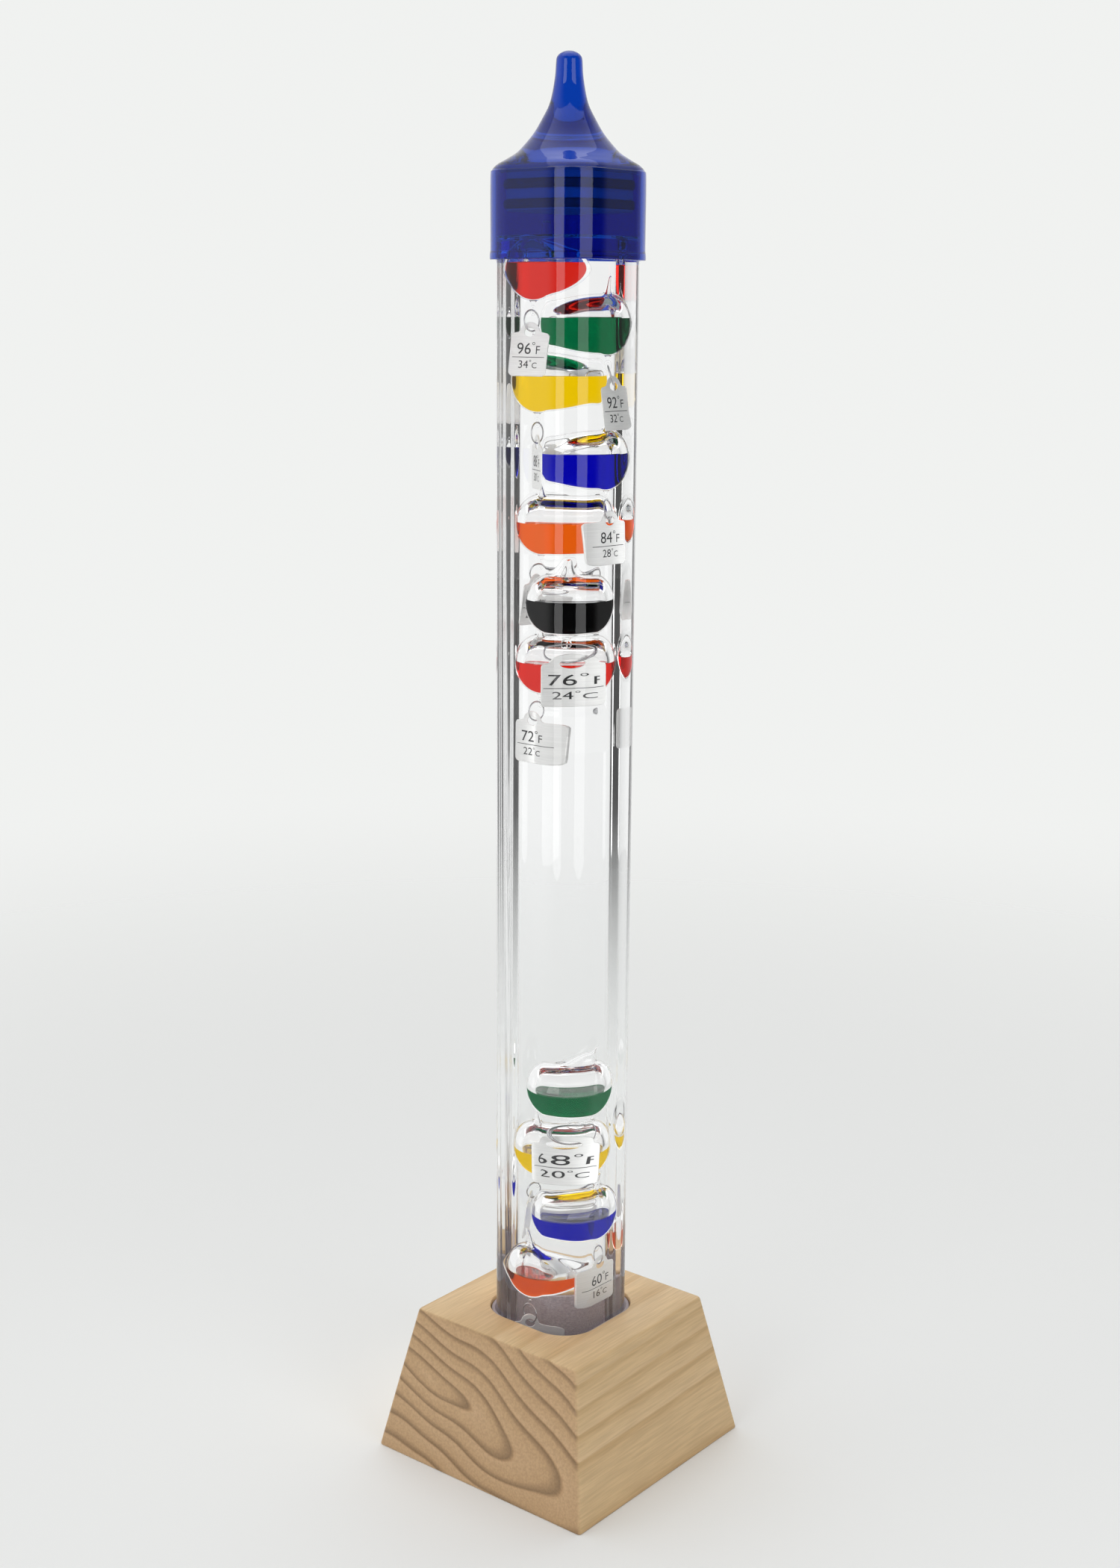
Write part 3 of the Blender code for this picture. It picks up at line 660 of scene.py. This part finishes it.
@dataclass
class FloatBulb:
    """One blown bulb with its drawn stem and hook, its dyed liquid, its ring and its tag."""

    hang: Hang
    radius: float = 9.1
    wall: float = 0.8
    stem_height: float = 5.2
    eye_radius: float = 1.2
    eye_thickness: float = 0.36
    ring_radius: float = 3.0
    wire_radius: float = 0.25
    tag_width: float = 13.0
    tag_height: float = 13.0
    tag_corner: float = 1.4
    tag_thickness: float = 0.4
    tab_radius: float = 3.7
    tab_rise: float = 3.0
    hole_half: tuple[float, float] = (1.9, 1.35)
    hole_drop: float = 3.0
    wire_play: float = 0.65

    def build(self, shared: dict[str, bpy.types.Material]) -> list[bpy.types.Object]:
        """Builds the float's pieces.

        Args:
            shared: Finishes used by every float.

        Returns:
            Bulb, liquid, ring, tag and lettering.
        """
        tag = f"{self.hang.label}F"
        bulb, liquid = self.bulb(shared), self.liquid()
        ring, plate, lettering = self.ring(shared), self.tag(shared), self.lettering(shared)
        for made, node, slot in ((bulb, "bulb_", "bulb_glass"), (liquid, "liquid_", self.hang.dye.slot)):
            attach(made, "float_" + tag)
            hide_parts(node + tag)
            made.visible_shadow = False
        for made, node, slot in ((ring, "ring_", "steel_wire"), (plate, "tag_", "tag_metal")):
            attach(made, "label_" + tag)
            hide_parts(node + tag)
        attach(lettering, "label_" + tag)
        return [bulb, liquid, ring, plate, lettering]

    def leaned(self, rings: np.ndarray) -> np.ndarray:
        """Bends what lies above the bulb's shoulder sideways, more with the square of its height."""
        share = np.clip((rings[..., 2:] - self.radius * 0.9) / (self.stem_height + self.radius * 0.1), 0, 1)
        rings[..., :2] += share ** 2 * np.array(self.hang.stem_lean)
        return rings

    def bulb(self, shared: dict[str, bpy.types.Material]) -> bpy.types.Object:
        """Turns the outer and inner walls and carries a thread round the hook.

        The outer wall is a sphere that runs into a thin stem above and a drop below. The inner
        wall is a sphere with its own small neck.
        """
        r, s = self.radius, self.radius - self.wall
        lat = np.linspace(math.radians(-81), math.radians(77), 40)
        sphere = np.column_stack([r * np.cos(lat), r * np.sin(lat)])
        top = sphere[-1]
        stem = eased(np.array([[top[0], top[1]], [1.75, r + 0.45], [1.25, r + 1.6], [0.95, r + 3.2],
                               [0.75, r + self.stem_height - 0.45]]), 5)
        cap = np.array([[0.5, r + self.stem_height - 0.12], [0.2, r + self.stem_height]])
        drop = eased(np.array([[0.12, -r - 1.35], [0.5, -r - 1.15], [0.7, -r - 0.5], sphere[0]]), 4)
        outer = np.concatenate([drop[:-1], sphere, stem[1:], cap])
        lat = np.linspace(-np.pi / 2, math.radians(77), 42)[1:]
        inner = np.column_stack([s * np.cos(lat), s * np.sin(lat)])
        neck = np.array([[1.2, s + 0.7], [0.85, s + 1.8], [0.6, s + 3.4], [0.4, s + 4.9], [0.12, s + 5.3]])
        inner = np.concatenate([inner, eased(np.concatenate([inner[-1:], neck]), 4)[1:]])
        walls = [skin(self.leaned(turned_rings(outer))), skin(self.leaned(turned_rings(inner)))]
        hollow = [face[::-1] for face in walls[1][1]]
        turn = np.linspace(0, 2 * np.pi, 28, endpoint=False)
        side = self.hang.ring_side
        yaw = math.atan2(side[1], side[0]) - math.pi / 2
        loop = np.stack([np.cos(turn) * math.cos(yaw), np.cos(turn) * math.sin(yaw), np.sin(turn)], 1)
        path = loop * self.eye_radius - (0, 0, r + 2.7)
        hook = skin(wire(path, self.eye_thickness, 10), loop=True)
        heights = walls[1][0][:, 2][np.array([face[0] for face in hollow])]
        pick = np.concatenate([np.zeros(len(walls[0][1])), np.where(heights < self.hang.level, 2, 1),
                               np.zeros(len(hook[1]))])
        parts = [walls[0], (walls[1][0], hollow), hook]
        parts = [(points + self.hang.centre, faces) for points, faces in parts]
        return piece(f"bulb_glass_{self.hang.label}", parts,
                     [shared["bulb"], shared["bulb_inside"], shared["bulb_wetted"]], pick)

    def liquid(self) -> bpy.types.Object:
        """Turns the liquid: a sphere a hair inside the wall, with a level top that climbs at its rim."""
        s = self.radius - self.wall - 0.03
        level = self.hang.level
        rim = math.asin(level / s)
        lat = np.linspace(-np.pi / 2, rim, 34)[1:]
        side = np.column_stack([s * np.cos(lat), s * np.sin(lat)])
        edge = s * math.cos(rim)
        top = np.array([[edge - 0.25, level - 0.14], [edge - 0.7, level - 0.28], [edge - 1.5, level - 0.34]])
        points, faces = skin(turned_rings(np.concatenate([side, top])))
        rows = len(side) - 1
        pick = np.zeros(len(faces))
        pick[rows * TURN_STEPS:(rows + len(top)) * TURN_STEPS] = 1
        pick[-TURN_STEPS:] = 1
        colour = self.hang.dye.value
        name = f"dyed_liquid_{self.hang.label}"
        body = ClearFinish(name, colour, 1.0)
        surface = ClearFinish(name + "_surface", colour, 1.36)
        return piece(name, [(points + self.hang.centre, faces)], [body.material(), surface.material()], pick)

    def ring(self, shared: dict[str, bpy.types.Material]) -> bpy.types.Object:
        """Carries a wire round a circle that hangs from the eye."""
        turn = np.linspace(0, 2 * np.pi, 48, endpoint=False)[:, None]
        middle = self.hang.eye + self.hang.down * self.ring_radius
        round_it = np.cos(turn) * self.hang.ring_side - np.sin(turn) * self.hang.down
        path = middle + self.ring_radius * round_it
        return piece(f"wire_ring_{self.hang.label}", [skin(wire(path, self.wire_radius, 12), loop=True)],
                     [shared["wire"]])

    def on_tag(self, flat: np.ndarray) -> np.ndarray:
        """Places points of the tag's own frame, with its origin where the wire passes the hole."""
        across, up, out = self.hang.tag_frame
        hole = self.hang.eye + 2 * self.ring_radius * self.hang.down
        return hole + flat[..., :1] * across + flat[..., 1:2] * up + flat[..., 2:] * out

    def tag(self, shared: dict[str, bpy.types.Material]) -> bpy.types.Object:
        """Joins the tag's outline to its hole, face to face, over lightly eased edges.

        Both outlines hold the same count of points at the same angles about the hole's middle, so
        each section of the plate is a band from one to the other.
        """
        count = 128
        lift = self.hole_drop - (self.hole_drop - self.hole_half[1] + self.wire_radius + self.wire_play)
        shoulder = -lift if lift > 0.4 else -0.45
        angle = np.linspace(0, 2 * np.pi, count, endpoint=False)
        ray = np.column_stack([np.cos(angle), np.sin(angle)])
        outer = self.outline(ray) * ray
        hole = ray / np.sqrt((ray[:, :1] / self.hole_half[0]) ** 2 + (ray[:, 1:] / self.hole_half[1]) ** 2)
        half, ease = self.tag_thickness / 2, 0.09

        def band(edge: np.ndarray, inset: float, z: float) -> np.ndarray:
            """A copy of an edge moved along its rays and lifted."""
            moved = edge - ray * inset
            return np.column_stack([moved[:, 0], moved[:, 1] + shoulder, np.full(count, z)])

        rings = np.stack([band(outer, ease, -half), band(outer, 0, ease - half), band(outer, 0, half - ease),
                          band(outer, ease, half), band(hole, -ease, half), band(hole, 0, half - ease),
                          band(hole, 0, ease - half), band(hole, -ease, -half)])
        points, faces = skin(rings, loop=True)
        return piece(f"tag_plate_{self.hang.label}", [(self.on_tag(points), faces)], [shared["tag"]])

    def outline(self, ray: np.ndarray) -> np.ndarray:
        """Distance from the hole's middle to the tag's edge along each ray.

        It is the larger of two distances: to a rounded rectangle whose top is the shoulder, and to
        the domed tab, a circle that rises above it.

        Args:
            ray: Unit directions, shape (n, 2).

        Returns:
            Distances, shape (n, 1).
        """
        far = np.linspace(0, 16, 1601)[None, :, None]
        spots = ray[:, None] * far
        wide, tall, c = self.tag_width / 2, self.tag_height / 2, self.tag_corner
        away = np.abs(spots + (0, tall)) - (wide - c, tall - c)
        plate = np.linalg.norm(np.maximum(away, 0), axis=2) + np.minimum(away.max(2), 0) - c
        tab = np.linalg.norm(spots - (0, self.tab_rise - self.tab_radius), axis=2) - self.tab_radius
        blend = np.clip(0.5 + (tab - plate) / 1.6, 0, 1)
        depth = tab + (plate - tab) * blend - 0.8 * blend * (1 - blend)
        inside = depth <= 0
        last = inside.shape[1] - 1 - np.argmax(inside[:, ::-1], axis=1)
        return far[0, last, 0][:, None]

    def lettering(self, shared: dict[str, bpy.types.Material]) -> bpy.types.Object:
        """Prints the two numbers with a line between them, a hair above the plate's face."""
        flat = [*self.line(self.hang.label, "F", 4.7, 8.0, -6.9),
                *self.line(self.hang.celsius, "C", 3.3, 6.4, -11.1)]
        half, thick = 5.6, 0.09
        bar = np.array([[-half, -7.85 - thick, 0], [half, -7.85 - thick, 0], [half, -7.85 + thick, 0],
                        [-half, -7.85 + thick, 0]])
        flat.append((bar, [[0, 1, 2, 3]]))
        parts = []
        for points, faces in flat:
            points = points.copy()
            points[:, 2] = self.tag_thickness / 2 + 0.03
            parts.append((self.on_tag(points), faces))
        return piece(f"tag_numbers_{self.hang.label}", parts, [shared["ink"]], smooth=False)

    def line(self, number: int, unit: str, size: float, width: float,
             base: float) -> list[tuple[np.ndarray, list[list[int]]]]:
        """A number, a raised degree sign and a smaller unit, side by side.

        The three are set with small gaps, then the whole is stretched to its width and centred.

        Args:
            number: The temperature.
            unit: F or C.
            size: Font size of the number.
            width: Width of the whole.
            base: Height of the base line in the tag's frame.

        Returns:
            Vertices and faces of the three.
        """
        runs = [self.letters(str(number), size), self.letters("°", size * 0.7),
                self.letters(unit, size * 0.74)]
        runs[1][0][:, 1] += size * 0.24
        pen = 0.0
        for points, _ in runs:
            points[:, 0] += pen - points[:, 0].min()
            pen = points[:, 0].max() + size * 0.08
        end = runs[-1][0][:, 0].max()
        for points, _ in runs:
            points[:, 0] = (points[:, 0] / end - 0.5) * width
            points[:, 1] += base
        return runs

    def letters(self, words: str, size: float) -> tuple[np.ndarray, list[list[int]]]:
        """Flat faces of letters that face +Z and stand on height 0.

        Args:
            words: What they say.
            size: Font size.

        Returns:
            Vertices and faces.
        """
        curve = bpy.data.curves.new("letters", "FONT")
        curve.body, curve.size, curve.resolution_u = words, size, 4
        carrier = bpy.data.objects.new("letters", curve)
        mesh = bpy.data.meshes.new_from_object(carrier)
        points = np.empty(len(mesh.vertices) * 3)
        mesh.vertices.foreach_get("co", points)
        faces = [list(polygon.vertices) for polygon in mesh.polygons]
        if mesh.polygons[0].normal.z < 0:
            faces = [face[::-1] for face in faces]
        bpy.data.objects.remove(carrier)
        bpy.data.curves.remove(curve)
        bpy.data.meshes.remove(mesh)
        return points.reshape(-1, 3), faces


# ---------------------------------------------------------------- studio

@dataclass
class Studio:
    """Pale floor, even surround, soft lights and the camera."""

    pale: tuple[float, float, float] = (0.875, 0.885, 0.872)
    azimuth: float = 39.04
    pitch: float = 12.63
    roll: float = 0.38
    lens: float = 48.50
    place: tuple[float, float, float] = (0.3953, -0.4895, 0.3597)

    def build(self) -> None:
        """Sets up everything that isn't part of the object."""
        self.floor()
        self.surround()
        self.lights()
        self.camera()
        scene = bpy.context.scene
        scene.view_settings.view_transform = "Standard"
        scene.cycles.max_bounces = 28
        scene.cycles.transmission_bounces = 24
        scene.cycles.glossy_bounces = 16
        scene.cycles.transparent_max_bounces = 16

    def floor(self) -> None:
        """A disc that fades out towards its rim, so that it meets the surround without a line."""
        turn = np.linspace(0, 2 * np.pi, 96, endpoint=False)
        radius = np.array([50.0, 600.0, 1600.0])[:, None]
        rings = np.stack([radius * np.cos(turn), radius * np.sin(turn), 0 * radius + 0 * turn - 0.05], 2)
        points, faces = skin(rings)
        faces = faces[:len(faces) - len(turn)]
        paint = Paint("floor").set(Base_Color=(0.90, 0.91, 0.90, 1.0), Roughness=0.8)
        length = paint.node("VectorMath", {0: paint.place()}, operation="LENGTH").outputs["Value"]
        fade = paint.node("MapRange", {"Value": length, "From Min": 0.20, "From Max": 0.95, "To Min": 1.0,
                                       "To Max": 0.0}, interpolation_type="SMOOTHSTEP")
        paint.links.new(fade.outputs["Result"], paint.shader.inputs["Alpha"])
        flat = piece("floor", [(points, [face[::-1] for face in faces])], [paint.material])
        if flat.data.polygons[0].normal.z < 0:
            flat.data.flip_normals()

    def surround(self) -> None:
        """An even pale surround to look at, also straight through the glass.

        What the glass bends or mirrors is a brighter one with a dark side.
        """
        world = bpy.data.worlds.new("surround")
        bpy.context.scene.world = world
        world.use_nodes = True
        nodes, links = world.node_tree.nodes, world.node_tree.links
        back = next(n for n in nodes if n.type == "BACKGROUND")
        back.inputs["Strength"].default_value = 1.0
        coordinates = nodes.new("ShaderNodeTexCoord")
        turned = nodes.new("ShaderNodeMapping")
        turned.inputs["Rotation"].default_value = (0.0, 0.0, math.radians(-self.azimuth))
        links.new(coordinates.outputs["Generated"], turned.inputs["Vector"])
        split = nodes.new("ShaderNodeSeparateXYZ")
        links.new(turned.outputs["Vector"], split.inputs["Vector"])
        ramp = nodes.new("ShaderNodeMapRange")
        ramp.interpolation_type = "SMOOTHSTEP"
        ramp.inputs["From Min"].default_value, ramp.inputs["From Max"].default_value = SIDE_RANGE
        ramp.inputs["To Min"].default_value, ramp.inputs["To Max"].default_value = SIDE_LIGHT
        lean = nodes.new("ShaderNodeMath")
        lean.operation = "MULTIPLY_ADD"
        links.new(split.outputs["X"], lean.inputs[0])
        lean.inputs[1].default_value = SIDE_LEAN
        links.new(split.outputs["Y"], lean.inputs[2])
        links.new(lean.outputs[0], ramp.inputs["Value"])
        path = nodes.new("ShaderNodeLightPath")
        mix = nodes.new("ShaderNodeMix")
        mix.data_type = "RGBA"
        through = self.test(nodes, links, "GREATER_THAN", path.outputs["Transmission Depth"], 1.5)
        shallow = self.test(nodes, links, "LESS_THAN", path.outputs["Ray Depth"], 2.5)
        straight = nodes.new("ShaderNodeMath")
        straight.operation = "MULTIPLY_ADD"
        links.new(through, straight.inputs[0])
        links.new(shallow, straight.inputs[1])
        links.new(path.outputs["Is Camera Ray"], straight.inputs[2])
        links.new(straight.outputs[0], mix.inputs[0])
        links.new(ramp.outputs["Result"], mix.inputs[6])
        mix.inputs[7].default_value = (*self.pale, 1.0)
        links.new(mix.outputs[2], back.inputs["Color"])

    @staticmethod
    def test(nodes: bpy.types.Nodes, links: bpy.types.NodeLinks, kind: str,
             value: bpy.types.NodeSocket, limit: float) -> bpy.types.NodeSocket:
        """1 where the value passes a comparison with the limit, else 0."""
        node = nodes.new("ShaderNodeMath")
        node.operation = kind
        links.new(value, node.inputs[0])
        node.inputs[1].default_value = limit
        return node.outputs[0]

    def lights(self) -> None:
        """Two tall soft boxes beside the camera and one overhead."""
        self.soft_box("left_box", self.azimuth - 34, 1.3, 0.42, (0.62, 1.15), 5.2)
        self.soft_box("right_box", self.azimuth + 38, 1.3, 0.42, (0.80, 1.15), 5.6)
        top = bpy.data.lights.new("top_box", "AREA")
        top.shape, top.size, top.size_y, top.energy = "RECTANGLE", 1.8, 1.8, 9.0
        hung = bpy.data.objects.new("top_box", top)
        hung.location = (0, 0, 1.7)
        bpy.context.scene.collection.objects.link(hung)

    def soft_box(self, name: str, azimuth: float, distance: float, height: float,
                 size: tuple[float, float], power: float) -> None:
        """A soft box that faces the object from an azimuth, measured as the camera's is."""
        light = bpy.data.lights.new(name, "AREA")
        light.shape, light.size, light.size_y, light.energy = "RECTANGLE", size[0], size[1], power
        box = bpy.data.objects.new(name, light)
        turn = math.radians(azimuth)
        box.location = (math.sin(turn) * distance, -math.cos(turn) * distance, height)
        box.rotation_euler = (math.pi / 2, 0, turn)
        bpy.context.scene.collection.objects.link(box)

    def camera(self) -> None:
        """Stands the camera where its azimuth, pitch and roll point it at the column."""
        a, e, r = (math.radians(v) for v in (self.azimuth, self.pitch, self.roll))
        forward = np.array([-math.sin(a) * math.cos(e), math.cos(a) * math.cos(e), -math.sin(e)])
        right = np.array([math.cos(a), math.sin(a), 0.0])
        up = np.cross(right, forward)
        side = math.cos(r) * right + math.sin(r) * up
        top = math.cos(r) * up - math.sin(r) * right
        lens = bpy.data.cameras.new("camera")
        lens.sensor_fit, lens.sensor_height, lens.lens = "VERTICAL", 36.0, self.lens
        lens.clip_start = 0.01
        eye = bpy.data.objects.new("camera", lens)
        matrix = np.eye(4)
        matrix[:3, 0], matrix[:3, 1], matrix[:3, 2], matrix[:3, 3] = side, top, -forward, self.place
        eye.matrix_world = Matrix(matrix.tolist())
        bpy.context.scene.collection.objects.link(eye)
        bpy.context.scene.camera = eye


def main() -> None:
    """Builds the object piece by piece, then the studio round it."""
    logging.basicConfig(level=logging.INFO, format="%(name)s: %(message)s")
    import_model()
    shared = {
        "bulb": ClearFinish("bulb_glass", (1.0, 1.0, 1.0), 1.055).material(),
        "bulb_inside": ClearFinish("bulb_glass_inside", (1.0, 1.0, 1.0), 1.53).material(),
        "bulb_wetted": ClearFinish("bulb_glass_wetted", (1.0, 1.0, 1.0), 1.0).material(),
        "wire": GrainedFinish("steel_wire", (0.62, 0.62, 0.64), 0.25, 1.0, contrast=0.1).material(),
        "tag": GrainedFinish("tag_metal", (0.90, 0.90, 0.89), 0.46, 0.72, 700.0, (0.3, 0.3, 4.0), 0.10,
                             0.10).material(),
        "ink": GrainedFinish("tag_ink", (0.012, 0.012, 0.014), 0.5, contrast=0.3).material(),
    }
    made = [*WoodenBase().build(), FilledColumn().build(), *Closure().build()]
    for hang in HANGS:
        made += FloatBulb(hang).build(shared)
    for part in made:
        LOG.info("%s: %d faces", part.name, len(part.data.polygons))
    Studio().build()


if __name__ == "__main__":
    main()
